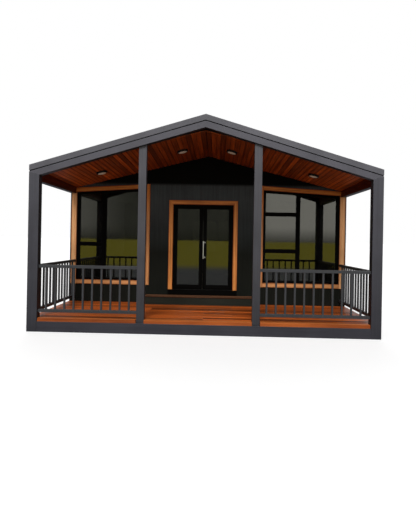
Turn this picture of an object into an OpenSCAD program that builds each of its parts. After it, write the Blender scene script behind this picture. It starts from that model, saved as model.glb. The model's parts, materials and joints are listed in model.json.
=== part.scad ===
// Gable-front tiny house: a steel portal and a covered porch with railings,
// in front of a panel cabin with a glazed double door.
// Millimetres, +Z up, the front faces -Y, origin under the middle of the base.

/* [House] */
// Outer width over the frame and the side walls
house_w = 6800; // [6200:50:7400]
// Depth of the porch, from the face of the frame to the porch wall
porch_d = 2500; // [2200:50:2800]
// Length of the cabin behind the face of the porch wall
cabin_l = 6000; // [5000:100:7000]
// Thickness of the panel walls
wall_t = 120; // [90:5:150]
// Distance from the eaves to the lower corner of the porch wall's gable panel
gable_edge = 300; // [220:20:400]

/* [Roof] */
// Height of the roof's outer top edge above the ground
eave_z = 3225; // [3100:5:3400]
// Rise of the roof for each unit of run
roof_pitch = 0.3; // [0.28:0.01:0.34]
// Height of the fascia board at the roof's edge
fascia_h = 112; // [95:1:120]
// Thickness of the fascia board
fascia_t = 40; // [18:1:45]
// Shadow gap between the fascia and the rafter below it
reveal_h = 18; // [6:1:20]
// Height of a front rafter, measured plumb
rafter_h = 125; // [120:1:170]
// Spacing of the standing seams on the roof
seam_pitch = 400; // [300:10:600]
// Height of a standing seam
seam_h = 25; // [15:1:32]
// Width of a standing seam
seam_w = 20; // [12:1:30]
// Reach of the ridge cap down each slope
cap_reach = 150; // [100:5:220]
// Thickness of the ridge cap
cap_t = 4; // [2:1:6]

/* [Frame] */
// Width of a corner post
corner_post_w = 200; // [160:5:220]
// Depth of a corner post and of the front rafters
corner_post_d = 160; // [120:5:170]
// Width of a middle post
mid_post_w = 150; // [120:5:180]
// Depth of a middle post
mid_post_d = 120; // [100:5:140]
// Distance of a middle post behind the face of the frame
mid_post_setback = 60; // [30:5:80]
// Place of the left middle post, from the centre line
left_post_x = 1210; // [1150:10:1300]
// Place of the right middle post, from the centre line
right_post_x = 1026; // [1000:1:1120]
// Height of the base beams
base_h = 200; // [180:5:230]
// Width of the side base beams
side_beam_w = 140; // [130:5:160]
// Height of the outer face of an eave beam
eave_beam_h = 161; // [150:1:210]
// Thickness of the timber lining on the inner face of an eave beam
lining_t = 20; // [14:1:26]

/* [Porch ceiling] */
// Fall of the ceiling from the centre line to the eaves, for each unit of run
ceiling_pitch = 0.25; // [0.24:0.005:0.255]
// Drop from the rafters to the ceiling boards at the centre line
ceiling_drop = 40; // [20:1:50]
// Fall of the ceiling from the front rafters to the porch wall
ceiling_fall = 58.5; // [40:0.5:120]
// Thickness of the ceiling boards
ceiling_t = 18; // [12:1:20]
// Width of the ceiling boards
ceiling_board_w = 100; // [80:5:150]
// Depth of the V groove between two ceiling boards
ceiling_groove = 4; // [2:0.5:6]
// Diameter of a ceiling light
light_d = 240; // [200:5:280]
// Depth of a ceiling light's housing
light_h = 45; // [35:1:60]
// Gap between a light's housing and the ceiling boards
light_gap = 0.1; // [0:0.1:0.5]
// Width of the rim round a light's diffuser
light_rim = 24; // [15:1:35]
// Place of the inner pair of lights, each side of the centre line
inner_light_x = 547; // [450:5:650]
// Distance of the outer pair of lights from the eaves
outer_light_edge = 885; // [700:5:1000]
// Distance of the inner pair behind the face of the frame
inner_light_y = 1270; // [1100:10:1400]
// Distance of the outer pair behind the face of the frame
outer_light_y = 1470; // [1300:10:1600]

/* [Deck and floor] */
// Thickness of the deck boards
deck_t = 28; // [22:1:36]
// Width of a deck board with the gap beside it
deck_board_pitch = 145; // [100:5:160]
// Gap between two deck boards
deck_gap = 5; // [3:1:8]
// Top of the deck above the base beams
deck_rise = 65; // [50:1:80]
// Distance of the deck's front edge behind the face of the frame
deck_setback = 15; // [0:5:40]
// Distance of the ends of the deck boards from the outer sides of the base
deck_end_inset = 10; // [0:5:30]
// Width of the joists
joist_w = 60; // [45:5:80]
// Spacing of the joists
joist_pitch = 600; // [450:10:700]
// Drop from the threshold to the cabin floor
floor_drop = 25; // [15:5:50]
// Thickness of the cabin floor
floor_t = 60; // [40:5:80]

/* [Porch railing] */
// Top of the railing above the ground
rail_top_z = 1293; // [1250:1:1350]
// Underside of the bottom rail above the ground
rail_bottom_z = 373; // [350:1:420]
// Width and height of a rail
rail_s = 58; // [50:1:70]
// Width of a baluster
baluster_s = 36; // [32:1:48]
// Spacing of the balusters
baluster_pitch = 180; // [150:1:200]
// Distance from the left middle post to the middle of the first baluster beside it
left_baluster_start = 147; // [90:1:170]
// Distance from the right middle post to the middle of the first baluster beside it
right_baluster_start = 123; // [90:1:170]
// Distance from a corner post to the middle of the first baluster behind it
side_baluster_start = 165; // [90:5:170]
// Distance of the middle of a side railing from the outer side of the house
side_rail_inset = 130; // [100:5:150]

/* [Porch windows] */
// Width of the wall corner beside a porch window
wall_corner_w = 160; // [145:5:200]
// Inner side of the left window, from the centre line
left_window_inner_x = 1520; // [1480:10:1600]
// Inner side of the right window, from the centre line
right_window_inner_x = 1375; // [1300:5:1450]
// Bottom of the porch windows above the ground
window_sill_z = 803; // [700:1:850]
// Clearance between the window trim and the ceiling at the eaves
head_clearance = 2; // [1:1:30]
// Rise of the window heads from the outer side to the inner side
window_head_rise = 110; // [60:5:140]
// Width of the window frame members
window_member = 52; // [40:1:70]
// Width of the stile at the outer side of a porch window
outer_stile_w = 80; // [60:1:100]
// Depth of the window frames
window_frame_d = 70; // [55:1:90]
// Distance of the window frames behind the wall's face
window_setback = 12; // [5:1:20]
// Width of the left window's mullion
left_mullion_w = 107; // [80:1:130]
// Middle of the left window's mullion, from the window's outer side
left_mullion_place = 679; // [450:1:900]
// Width of the right window's mullion
right_mullion_w = 90; // [70:5:120]
// Middle of the right window's mullion, from the window's outer side
right_mullion_place = 1010; // [700:2:1300]
// Height of a transom
transom_h = 80; // [60:1:90]
// Middle of the left window's transom above the ground
left_transom_z = 1685; // [1500:5:1800]
// Middle of the right window's lower transom above the ground
right_transom_z = 1588; // [1400:1:1700]
// Middle of the right window's upper transom above the ground
right_upper_transom_z = 2492; // [2350:1:2600]
// Thickness of the glass units
glass_t = 24; // [16:1:28]

/* [Timber trim] */
// Thickness of the trim boards
trim_t = 22; // [18:1:28]
// Width of the head and sill boards of the windows
trim_w = 107; // [100:1:126]
// Width of the upright board at the inner side of a window
inner_trim_w = 100; // [80:5:120]
// Distance of the upright corner board from the outer corner of the wall
corner_trim_inset = 30; // [0:5:60]
// Width of the boards round the door
door_trim_w = 105; // [95:1:150]

/* [Door] */
// Middle of the double door to the left of the centre line
door_offset = 100; // [60:1:160]
// Width of the doorway, outside the door frame
doorway_w = 1485; // [1400:5:1520]
// Top of the doorway above the ground
doorway_top_z = 2698; // [2550:1:2750]
// Top of the threshold above the ground
threshold_z = 600; // [550:1:640]
// Height of the threshold's front
threshold_h = 135; // [100:1:140]
// Reach of the threshold in front of the wall
threshold_reach = 30; // [25:1:60]
// Face width of the door frame
door_frame_w = 30; // [26:1:45]
// Depth of the stop behind the leaves, into the doorway
door_stop_w = 14; // [8:1:20]
// Thickness of a door leaf
leaf_t = 45; // [36:1:55]
// Gap round the door leaves
leaf_gap = 5; // [5:0.5:8]
// Gap under the door leaves
leaf_bottom_gap = 10; // [6:1:14]
// Width of a leaf's hinge stile
hinge_stile_w = 69; // [50:1:80]
// Width of a leaf's meeting stile
meeting_stile_w = 82; // [60:1:90]
// Height of a leaf's top rail
leaf_top_rail = 66; // [40:1:80]
// Height of a leaf's bottom rail
leaf_bottom_rail = 104; // [80:1:140]
// Length of the pull handle
handle_l = 430; // [350:10:500]
// Diameter of the pull handle's grip
handle_d = 22; // [16:1:28]
// Middle of the pull handle above the ground
handle_z = 1585; // [1400:5:1650]
// Clear space behind the pull handle's grip
handle_space = 44; // [35:1:60]
// Distance of the middle of the grip from the middle of the door
handle_inset = 13; // [13:1:30]
// Distance between the grip and the feet of its leaning stand-offs, along the leaf
handle_lean = 37; // [20:1:45]

/* [Door hinges] */
// Number of hinges on each leaf
hinge_count = 3; // [2:1:4]
// Radius of a hinge barrel
hinge_r = 8; // [7:0.5:9]
// Radius of a hinge pin
hinge_pin_r = 4; // [3:0.5:5]
// Clearance between a pin and the knuckle that turns on it
hinge_fit = 0.06; // [0.04:0.01:0.1]
// Gap between a hinge barrel and the face of the leaf
hinge_face_gap = 2; // [1:0.5:2.5]
// Length of a hinge
hinge_l = 110; // [90:5:140]
// Length of the knuckle on the leaf
hinge_knuckle_l = 42; // [34:1:50]
// Clearance above and below the knuckle on the leaf
hinge_end_gap = 1; // [0.5:0.5:2]
// Thickness of a hinge plate
hinge_plate_t = 3; // [2:0.5:4]
// Width of a hinge plate on the leaf
hinge_plate_w = 34; // [26:1:44]
// Distance of the end hinges from the top and bottom of a leaf
hinge_margin = 220; // [150:10:300]

/* [Step] */
// Width of the step in front of the door
step_w = 2750; // [2400:10:2900]
// Depth of the step
step_d = 345; // [300:5:450]
// Thickness of the step's tread
tread_t = 22; // [18:1:50]
// Reach of the tread in front of its riser
tread_nose = 20; // [10:1:30]
// Thickness of the step's riser and bearers
riser_t = 25; // [18:1:35]

/* [Cabin windows] */
// Width of a cabin window
cabin_window_w = 1500; // [1200:20:1800]
// Height of a cabin window
cabin_window_h = 1250; // [1000:10:1400]
// Bottom of a cabin window above the ground
cabin_sill_z = 1350; // [1200:10:1450]
// Width of a cabin window's mullion
cabin_mullion_w = 95; // [70:5:120]
// Share of the width on the narrow side of a cabin window's mullion
cabin_mullion_share = 0.34; // [0.3:0.01:0.5]

/* [Hidden] */
$fn = 48;
overshoot = 2;
half_w = house_w / 2;
ridge_z = eave_z + roof_pitch * half_w;
total_l = porch_d + cabin_l;
mid_y = (total_l + trim_t) / 2;
roof_t = fascia_h + reveal_h;
eave_beam_z = eave_z - roof_t - eave_beam_h;
ceiling_front_z = ridge_z - roof_t - rafter_h - ceiling_drop;
front_beam_d = mid_post_setback + mid_post_d;
post_inner_x = half_w - corner_post_w;
side_beam_x = half_w - side_beam_w;
wall_in_x = half_w - wall_t;
eave_beam_x = wall_in_x;
lining_x = eave_beam_x - lining_t;
outer_light_x = lining_x - outer_light_edge;
floor_z = threshold_z - floor_drop;
window_outer_x = half_w - wall_corner_w;
window_head_z = ceiling_front_z - ceiling_pitch * lining_x - ceiling_fall - head_clearance - trim_w;
left_mullion_x = window_outer_x - left_mullion_place;
right_mullion_x = window_outer_x - right_mullion_place;
porch_wall_y = [porch_d, porch_d + wall_t];
rear_wall_y = [total_l - wall_t, total_l];
cabin_y = [porch_wall_y[1], rear_wall_y[0]];
gable_half_w = half_w - gable_edge;
gable_z = roof_under(gable_half_w);
deck_z = base_h + deck_rise;
joist_top_z = floor_z - floor_t;
deck_y = [front_beam_d, porch_d];
deck_side_x = half_w - deck_end_inset;
board_z = [deck_z - deck_t, deck_z];
porch_y = [corner_post_d, porch_d];
trim_y = [porch_d - trim_t, porch_d];
door_x = -door_offset;
doorway = [door_x - doorway_w / 2, door_x + doorway_w / 2];
leaf_w = (doorway_w - 2 * door_frame_w - 3 * leaf_gap) / 2;
leaf_z = [threshold_z + leaf_bottom_gap, doorway_top_z - door_frame_w - leaf_gap];
leaf_x = [leaf_gap / 2, leaf_gap / 2 + leaf_w];
leaf_glass_x = [leaf_x[0] + meeting_stile_w, leaf_x[1] - hinge_stile_w];
leaf_glass_z = [leaf_z[0] + leaf_bottom_rail, leaf_z[1] - leaf_top_rail];
pin_x = leaf_x[1] + leaf_gap / 2;
hinge_y = porch_d - hinge_r - hinge_face_gap;
window_frame_y = [porch_d + window_setback, porch_d + window_setback + window_frame_d];
glass_y = [
    window_frame_y[0] + (window_frame_d - glass_t) / 2,
    window_frame_y[0] + (window_frame_d + glass_t) / 2
];
left_window = [-window_outer_x, -left_window_inner_x];
right_window = [right_window_inner_x, window_outer_x];
leaf_glass_y = [porch_d + (leaf_t - glass_t) / 2, porch_d + (leaf_t + glass_t) / 2];
tread_y = [porch_d - step_d, porch_d];
tread_z = [threshold_z - threshold_h - tread_t, threshold_z - threshold_h];
rail_y = [(corner_post_d - rail_s) / 2, (corner_post_d + rail_s) / 2];
side_rail_x = half_w - side_rail_inset;

function roof_top(x) = ridge_z - roof_pitch * abs(x);
function roof_under(x) = roof_top(x) - roof_t;
function rafter_under(x) = roof_under(x) - rafter_h;
function ceiling_under(x, y) =
    ceiling_front_z - ceiling_pitch * abs(x) - ceiling_fall * (y - porch_y[0]) / (porch_y[1] - porch_y[0]);
function window_head(x, window) =
    window_head_z + window_head_rise * (window_outer_x - abs(x)) / (window[1] - window[0]);
function middle(span) = (span[0] + span[1]) / 2;

// A block between two corners, with y measured back from the face of the frame
module block(x, y, z) {
    translate([x[0], y[0] - mid_y, z[0]])
        cube([x[1] - x[0], y[1] - y[0], z[1] - z[0]]);
}

// A shape drawn in X and Z, run from y[0] to y[1] behind the face of the frame
module run_back(y) {
    translate([0, y[1] - mid_y, 0])
        rotate([90, 0, 0])
            linear_extrude(y[1] - y[0]) children();
}

// The same on the right as on the left
module both_sides() {
    children();
    mirror([1, 0, 0]) children();
}

// ---------- base, deck and floor ----------

module base_cross_beams() {
    color("dimgray") {
        block([-post_inner_x, post_inner_x], [0, corner_post_d], [0, base_h]);
        block([-side_beam_x, side_beam_x], [corner_post_d, front_beam_d], [0, base_h]);
        block([-side_beam_x, side_beam_x], porch_wall_y, [0, base_h]);
        block([-side_beam_x, side_beam_x], rear_wall_y, [0, base_h]);
    }
}

module base_side_beams() {
    color("dimgray")
        both_sides() block([side_beam_x, half_w], [corner_post_d, total_l], [0, base_h]);
}

// Joists between the base beams, and packers on the side beams
module deck_joists() {
    bays = floor(2 * side_beam_x / joist_pitch);
    color("sienna") {
        for (i = [0 : bays]) {
            x = (i - bays / 2) * joist_pitch;
            block([x - joist_w / 2, x + joist_w / 2], deck_y, [0, board_z[0]]);
        }
        both_sides() block([side_beam_x, deck_side_x], deck_y, [base_h, board_z[0]]);
    }
}

// Boards across the joists, with the last gap at the porch wall, behind thick front
// boards that stand on the front beam between the posts
module porch_deck() {
    boards = round((deck_y[1] - deck_y[0]) / deck_board_pitch);
    pitch = (deck_y[1] - deck_y[0]) / boards;
    posts = [
        [-half_w, -post_inner_x],
        [-left_post_x - mid_post_w / 2, -left_post_x + mid_post_w / 2],
        [right_post_x - mid_post_w / 2, right_post_x + mid_post_w / 2],
        [post_inner_x, half_w]
    ];
    color("chocolate") {
        for (i = [0 : boards - 1]) {
            y = deck_y[0] + i * pitch;
            block([-deck_side_x, deck_side_x], [y, y + pitch - deck_gap], board_z);
        }
        for (i = [0 : 2])
            block(
                [posts[i][1] + deck_gap, posts[i + 1][0] - deck_gap],
                [deck_setback, deck_y[0] - deck_gap],
                [base_h, deck_z]
            );
    }
}

module floor_joists() {
    bays = floor((cabin_y[1] - cabin_y[0] - joist_w) / joist_pitch);
    first = middle(cabin_y) - bays * joist_pitch / 2;
    color("peru")
        for (i = [0 : bays]) {
            y = first + i * joist_pitch;
            block([-wall_in_x, wall_in_x], [y - joist_w / 2, y + joist_w / 2], [base_h, joist_top_z]);
        }
}

module house_floor() {
    color("burlywood") block([-wall_in_x, wall_in_x], cabin_y, [joist_top_z, floor_z]);
}

// ---------- portal frame ----------

module corner_post() {
    run_back([0, corner_post_d])
        polygon([
            [post_inner_x, 0], [half_w, 0],
            [half_w, roof_under(half_w)], [post_inner_x, rafter_under(post_inner_x)]
        ]);
}

module corner_post_left() {
    color("dimgray") mirror([1, 0, 0]) corner_post();
}

module corner_post_right() {
    color("dimgray") corner_post();
}

// The post ends on a level top just under the lower side of the sloping rafter
module mid_post(x) {
    side = [x - mid_post_w / 2, x + mid_post_w / 2];
    run_back([mid_post_setback, front_beam_d])
        polygon([
            [side[0], base_h], [side[1], base_h],
            [side[1], rafter_under(side[1])], [side[0], rafter_under(side[0])]
        ]);
}

module mid_post_left() {
    color("dimgray") mid_post(-left_post_x);
}

module mid_post_right() {
    color("dimgray") mid_post(right_post_x);
}

module front_rafter() {
    run_back([0, corner_post_d])
        polygon([
            [0, roof_under(0)], [half_w, roof_under(half_w)],
            [post_inner_x, rafter_under(post_inner_x)], [0, rafter_under(0)]
        ]);
}

module front_rafter_left() {
    color("dimgray") mirror([1, 0, 0]) front_rafter();
}

module front_rafter_right() {
    color("dimgray") front_rafter();
}

module fascia(y) {
    run_back(y)
        polygon([
            [-half_w, roof_top(half_w) - fascia_h], [0, ridge_z - fascia_h],
            [half_w, roof_top(half_w) - fascia_h], [half_w, roof_top(half_w)],
            [0, ridge_z], [-half_w, roof_top(half_w)]
        ]);
}

module front_fascia() {
    color("dimgray") fascia([0, fascia_t]);
}

module rear_fascia() {
    color("dimgray") fascia([total_l - fascia_t, total_l]);
}

module eave_beams() {
    color("dimgray")
        both_sides()
            run_back(porch_y)
                polygon([
                    [eave_beam_x, eave_beam_z], [half_w, eave_beam_z],
                    [half_w, roof_under(half_w)], [eave_beam_x, roof_under(eave_beam_x)]
                ]);
}

module eave_lining() {
    color("saddlebrown")
        both_sides() block([lining_x, eave_beam_x], porch_y, [eave_beam_z, roof_under(eave_beam_x)]);
}

// ---------- roof and porch ceiling ----------

// The section of the boards on the right half, which slope down from the origin
module ceiling_boards(slope) {
    boards = round(lining_x / ceiling_board_w);
    grooves = [
        for (i = [1 : boards - 1], side = [-1 : 1])
            let (x = i * lining_x / boards + side * ceiling_groove)
                [x, (side == 0 ? ceiling_groove : 0) - slope * x]
    ];
    edge = [[lining_x, -slope * lining_x], [lining_x, ceiling_t - slope * lining_x]];
    polygon(concat([[0, 0]], grooves, edge, [[0, ceiling_t]]));
}

// The boards thin out towards the eaves, where they are scribed to the underside of the roof
module porch_ceiling() {
    porch_run = porch_y[1] - porch_y[0];
    fall_angle = atan(ceiling_fall / porch_run);
    intersection() {
        run_back(porch_y)
            polygon([[0, 0], [lining_x, 0], [lining_x, roof_under(lining_x)], [0, roof_under(0)]]);
        translate([0, porch_y[0] - mid_y, ceiling_front_z])
            rotate([90 - fall_angle, 0, 0])
                translate([0, 0, -2 * porch_run])
                    linear_extrude(3 * porch_run) ceiling_boards(ceiling_pitch * cos(fall_angle));
    }
}

module porch_ceiling_left() {
    color("saddlebrown") mirror([1, 0, 0]) porch_ceiling();
}

module porch_ceiling_right() {
    color("saddlebrown") porch_ceiling();
}

// Sets its children hanging square from the ceiling at a place on the right half
module on_ceiling(x, y) {
    fall = ceiling_fall / (porch_y[1] - porch_y[0]);
    lean = acos(1 / sqrt(1 + pow(ceiling_pitch, 2) + pow(fall, 2)));
    translate([x, y - mid_y, ceiling_under(x, y)])
        rotate([0, lean, atan2(fall, ceiling_pitch)])
            mirror([0, 0, 1]) translate([0, 0, light_gap]) children();
}

module at_each_light() {
    both_sides() {
        on_ceiling(inner_light_x, inner_light_y) children();
        on_ceiling(outer_light_x, outer_light_y) children();
    }
}

module ceiling_lights() {
    color("black")
        at_each_light()
            difference() {
                cylinder(h = light_h, d = light_d);
                translate([0, 0, light_h / 2])
                    cylinder(h = light_h, d = light_d - 2 * light_rim);
            }
}

module light_diffusers() {
    color("white")
        at_each_light()
            translate([0, 0, light_h / 2]) {
                cylinder(h = light_h / 2, d = light_d - 2 * light_rim);
                translate([0, 0, light_h / 2])
                    cylinder(h = light_h / 4, d1 = light_d - 2 * light_rim, d2 = light_d / 2);
            }
}

// A roof panel with the standing seams of its metal sheet
module roof_panel() {
    eave = [half_w, roof_top(half_w)];
    sheet_y = [fascia_t, total_l - fascia_t];
    run_back(sheet_y)
        polygon([[0, ridge_z], eave, [half_w, roof_under(half_w)], [0, roof_under(0)]]);
    seams = floor((sheet_y[1] - sheet_y[0] - seam_pitch) / seam_pitch);
    first = total_l / 2 - seams * seam_pitch / 2;
    for (i = [0 : seams]) {
        y = first + i * seam_pitch;
        run_back([y - seam_w / 2, y + seam_w / 2])
            polygon([
                [cap_reach, roof_top(cap_reach) - overshoot], [half_w, eave[1] - overshoot],
                [half_w, eave[1] + seam_h], [cap_reach, roof_top(cap_reach) + seam_h]
            ]);
    }
}

module roof_left() {
    color("gray") mirror([1, 0, 0]) roof_panel();
}

module roof_right() {
    color("gray") roof_panel();
}

module ridge_cap() {
    color("dimgray")
        run_back([fascia_t, total_l - fascia_t])
            polygon([
                [-cap_reach, roof_top(cap_reach)], [0, ridge_z], [cap_reach, roof_top(cap_reach)],
                [cap_reach, roof_top(cap_reach) + cap_t], [0, ridge_z + cap_t],
                [-cap_reach, roof_top(cap_reach) + cap_t]
            ]);
}

// ---------- porch windows ----------

module window_outline(window, inset = 0) {
    side = [window[0] + inset, window[1] - inset];
    polygon([
        [side[0], window_sill_z + inset], [side[1], window_sill_z + inset],
        [side[1], window_head(side[1], window) - inset], [side[0], window_head(side[0], window) - inset]
    ]);
}

module bar(x, z) {
    translate([x[0], z[0]]) square([x[1] - x[0], z[1] - z[0]]);
}

module left_bars() {
    mullion = -left_mullion_x + left_mullion_w / 2;
    bar([-window_outer_x, -window_outer_x + outer_stile_w], [0, ridge_z]);
    bar([mullion - left_mullion_w, mullion], [0, ridge_z]);
    bar([-half_w, mullion], [left_transom_z - transom_h / 2, left_transom_z + transom_h / 2]);
}

module right_bars() {
    mullion = right_mullion_x + right_mullion_w / 2;
    bar([window_outer_x - outer_stile_w, window_outer_x], [0, ridge_z]);
    bar([mullion - right_mullion_w, mullion], [0, ridge_z]);
    for (z = [right_transom_z, right_upper_transom_z])
        bar([0, mullion], [z - transom_h / 2, z + transom_h / 2]);
}

// The panes of a window, as its frame leaves them open
module panes(window) {
    difference() {
        window_outline(window, window_member);
        children();
    }
}

module window_frame_left() {
    color("black")
        run_back(window_frame_y)
            difference() {
                window_outline(left_window);
                panes(left_window) left_bars();
            }
}

module window_frame_right() {
    color("black")
        run_back(window_frame_y)
            difference() {
                window_outline(right_window);
                panes(right_window) right_bars();
            }
}

module porch_window_glass() {
    color("slategray", 0.5)
        run_back(glass_y) {
            panes(left_window) left_bars();
            panes(right_window) right_bars();
        }
}

// The boards round a window, drawn for the left one
module window_boards(window) {
    head = [-lining_x, window[1]];
    run_back(trim_y) {
        bar([corner_trim_inset - half_w, window[0]], [window_sill_z - trim_w, eave_beam_z]);
        bar([head[0], window[0]], [window_sill_z - trim_w, window_head(window[0], window)]);
        bar([window[0], window[1]], [window_sill_z - trim_w, window_sill_z]);
        bar(
            [window[1], window[1] + inner_trim_w],
            [window_sill_z - trim_w, window_head(window[1], window) + trim_w]
        );
        polygon([
            [head[0], window_head(head[0], window)], [head[1], window_head(head[1], window)],
            [head[1], window_head(head[1], window) + trim_w], [head[0], window_head(head[0], window) + trim_w]
        ]);
    }
}

module window_trim_left() {
    color("peru") window_boards(left_window);
}

module window_trim_right() {
    color("peru") mirror([1, 0, 0]) window_boards([-right_window[1], -right_window[0]]);
}

// ---------- porch wall ----------

// The wall panel beside the doorway, from the outer corner to x = inner
module porch_wall_side(inner) {
    polygon([
        [-half_w, base_h], [inner, base_h],
        [inner, gable_z], [-gable_half_w, gable_z], [-half_w, roof_under(half_w)]
    ]);
}

module porch_wall_left() {
    color("darkslategray")
        run_back(porch_wall_y)
            difference() {
                porch_wall_side(doorway[0]);
                window_outline(left_window);
            }
}

module porch_wall_right() {
    color("darkslategray")
        run_back(porch_wall_y)
            difference() {
                mirror([1, 0]) porch_wall_side(-doorway[1]);
                window_outline(right_window);
            }
}

module porch_wall_gable() {
    color("darkslategray")
        run_back(porch_wall_y)
            polygon([
                [doorway[0], doorway_top_z], [doorway[1], doorway_top_z],
                [doorway[1], gable_z], [gable_half_w, gable_z],
                [0, roof_under(0)],
                [-gable_half_w, gable_z], [doorway[0], gable_z]
            ]);
}

// ---------- cabin walls and windows ----------

// Turns a window drawn on the rear wall to the right side wall
module on_right_wall() {
    translate([half_w, middle(cabin_y) - mid_y, 0]) rotate([0, 0, 90]) children();
}

module on_rear_wall() {
    translate([0, total_l - mid_y, 0]) rotate([0, 0, 180]) children();
}

// Runs a shape from depth d[0] to depth d[1] behind the outer face of a wall
module into_wall(d) {
    translate([0, d[1], 0]) rotate([90, 0, 0]) linear_extrude(d[1] - d[0]) children();
}

module cabin_window_outline(inset = 0) {
    bar(
        [-cabin_window_w / 2 + inset, cabin_window_w / 2 - inset],
        [cabin_sill_z + inset, cabin_sill_z + cabin_window_h - inset]
    );
}

module cabin_panes() {
    mullion = (cabin_mullion_share - 0.5) * cabin_window_w;
    transom = cabin_sill_z + cabin_window_h / 3;
    difference() {
        cabin_window_outline(window_member);
        bar([mullion - cabin_mullion_w / 2, mullion + cabin_mullion_w / 2], [0, ridge_z]);
        bar([-cabin_window_w, mullion], [transom - transom_h / 2, transom + transom_h / 2]);
    }
}

module at_each_cabin_wall() {
    both_sides() on_right_wall() children();
    on_rear_wall() children();
}

module cabin_window_frames() {
    color("black")
        at_each_cabin_wall()
            into_wall([window_setback, window_setback + window_frame_d])
                difference() {
                    cabin_window_outline();
                    cabin_panes();
                }
}

module cabin_window_glass() {
    front = window_setback + (window_frame_d - glass_t) / 2;
    color("slategray", 0.5)
        at_each_cabin_wall() into_wall([front, front + glass_t]) cabin_panes();
}

module cabin_window_trim() {
    color("peru")
        at_each_cabin_wall()
            into_wall([-trim_t, 0])
                difference() {
                    cabin_window_outline(-trim_w);
                    cabin_window_outline();
                }
}

module side_wall() {
    difference() {
        run_back(cabin_y)
            polygon([
                [wall_in_x, base_h], [half_w, base_h],
                [half_w, roof_under(half_w)], [wall_in_x, roof_under(wall_in_x)]
            ]);
        on_right_wall() into_wall([-overshoot, wall_t + overshoot]) cabin_window_outline();
    }
}

module side_wall_left() {
    color("darkslategray") mirror([1, 0, 0]) side_wall();
}

module side_wall_right() {
    color("darkslategray") side_wall();
}

module rear_wall() {
    color("darkslategray")
        difference() {
            run_back(rear_wall_y)
                polygon([
                    [-half_w, base_h], [half_w, base_h], [half_w, roof_under(half_w)],
                    [0, roof_under(0)], [-half_w, roof_under(half_w)]
                ]);
            on_rear_wall() into_wall([-overshoot, wall_t + overshoot]) cabin_window_outline();
        }
}

// ---------- door ----------

// The frame is rebated: behind the leaves it stands further into the doorway
module door_frame() {
    stop_y = porch_d + leaf_t + leaf_gap;
    color("black") {
        door_frame_part([porch_wall_y[0], stop_y], door_frame_w);
        door_frame_part([stop_y, porch_wall_y[1]], door_frame_w + door_stop_w);
    }
}

module door_frame_part(y, face) {
    run_back(y)
        difference() {
            bar(doorway, [threshold_z, doorway_top_z]);
            bar([doorway[0] + face, doorway[1] - face], [0, doorway_top_z - face]);
        }
}

module door_trim() {
    color("peru")
        run_back(trim_y)
            difference() {
                bar(
                    [doorway[0] - door_trim_w, doorway[1] + door_trim_w],
                    [threshold_z, doorway_top_z + door_trim_w]
                );
                bar(doorway, [0, doorway_top_z]);
            }
}

module door_threshold() {
    color("black") {
        block(doorway, porch_wall_y, [base_h, threshold_z]);
        block(
            [doorway[0] - door_trim_w, doorway[1] + door_trim_w],
            [porch_d - threshold_reach, porch_d],
            [threshold_z - threshold_h, threshold_z]
        );
    }
}

// A leaf is drawn on the right of the door's middle, where the left leaf is its mirror image
module left_leaf_place() {
    translate([door_x, 0, 0]) mirror([1, 0, 0]) children();
}

module right_leaf_place() {
    translate([door_x, 0, 0]) children();
}

function hinge_z(i) =
    leaf_z[0] + hinge_margin + i * (leaf_z[1] - leaf_z[0] - 2 * hinge_margin) / (hinge_count - 1);

module barrel(z, r) {
    translate([pin_x, hinge_y - mid_y, z[0]]) cylinder(h = z[1] - z[0], r = r);
}

module leaf_hinge(z) {
    half = hinge_knuckle_l / 2;
    difference() {
        union() {
            barrel([z - half, z + half], hinge_r);
            block([pin_x - hinge_plate_w, pin_x], [porch_d - hinge_plate_t, porch_d], [z - half, z + half]);
        }
        barrel([z - hinge_l, z + hinge_l], hinge_pin_r + hinge_fit);
    }
}

module frame_hinge(z) {
    half = hinge_l / 2;
    inner = hinge_knuckle_l / 2 + hinge_end_gap;
    barrel([z - half, z + half], hinge_pin_r);
    for (end = [[z - half, z - inner], [z + inner, z + half]]) {
        barrel(end, hinge_r);
        block([pin_x, pin_x + door_frame_w - leaf_gap], [porch_d - hinge_plate_t, porch_d], end);
    }
}

module leaf() {
    difference() {
        block(leaf_x, [porch_d, porch_d + leaf_t], leaf_z);
        block(leaf_glass_x, [porch_d - overshoot, porch_d + leaf_t + overshoot], leaf_glass_z);
    }
    for (i = [0 : hinge_count - 1]) leaf_hinge(hinge_z(i));
}

module door_leaf_left() {
    color("black") left_leaf_place() leaf();
}

module door_leaf_right() {
    color("black") right_leaf_place() leaf();
}

module door_glass_left() {
    color("slategray", 0.5) left_leaf_place() block(leaf_glass_x, leaf_glass_y, leaf_glass_z);
}

module door_glass_right() {
    color("slategray", 0.5) right_leaf_place() block(leaf_glass_x, leaf_glass_y, leaf_glass_z);
}

module door_hinges() {
    color("black")
        for (i = [0 : hinge_count - 1]) {
            left_leaf_place() frame_hinge(hinge_z(i));
            right_leaf_place() frame_hinge(hinge_z(i));
        }
}

// A straight pull in front of the meeting edge, on two stand-offs that lean to its leaf
module door_handle() {
    grip_y = porch_d - handle_space - handle_d / 2;
    post_z = handle_l / 2 - 1.5 * handle_d;
    color("silver")
        right_leaf_place()
            translate([handle_inset, -mid_y, handle_z]) {
                translate([0, grip_y, -handle_l / 2]) cylinder(h = handle_l, d = handle_d);
                for (z = [-post_z, post_z])
                    translate([handle_lean, porch_d, z]) {
                        stand_off([handle_lean, porch_d - grip_y]);
                        rotate([90, 0, 0]) cylinder(h = handle_d / 4, d = 1.3 * handle_d);
                    }
            }
}

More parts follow.
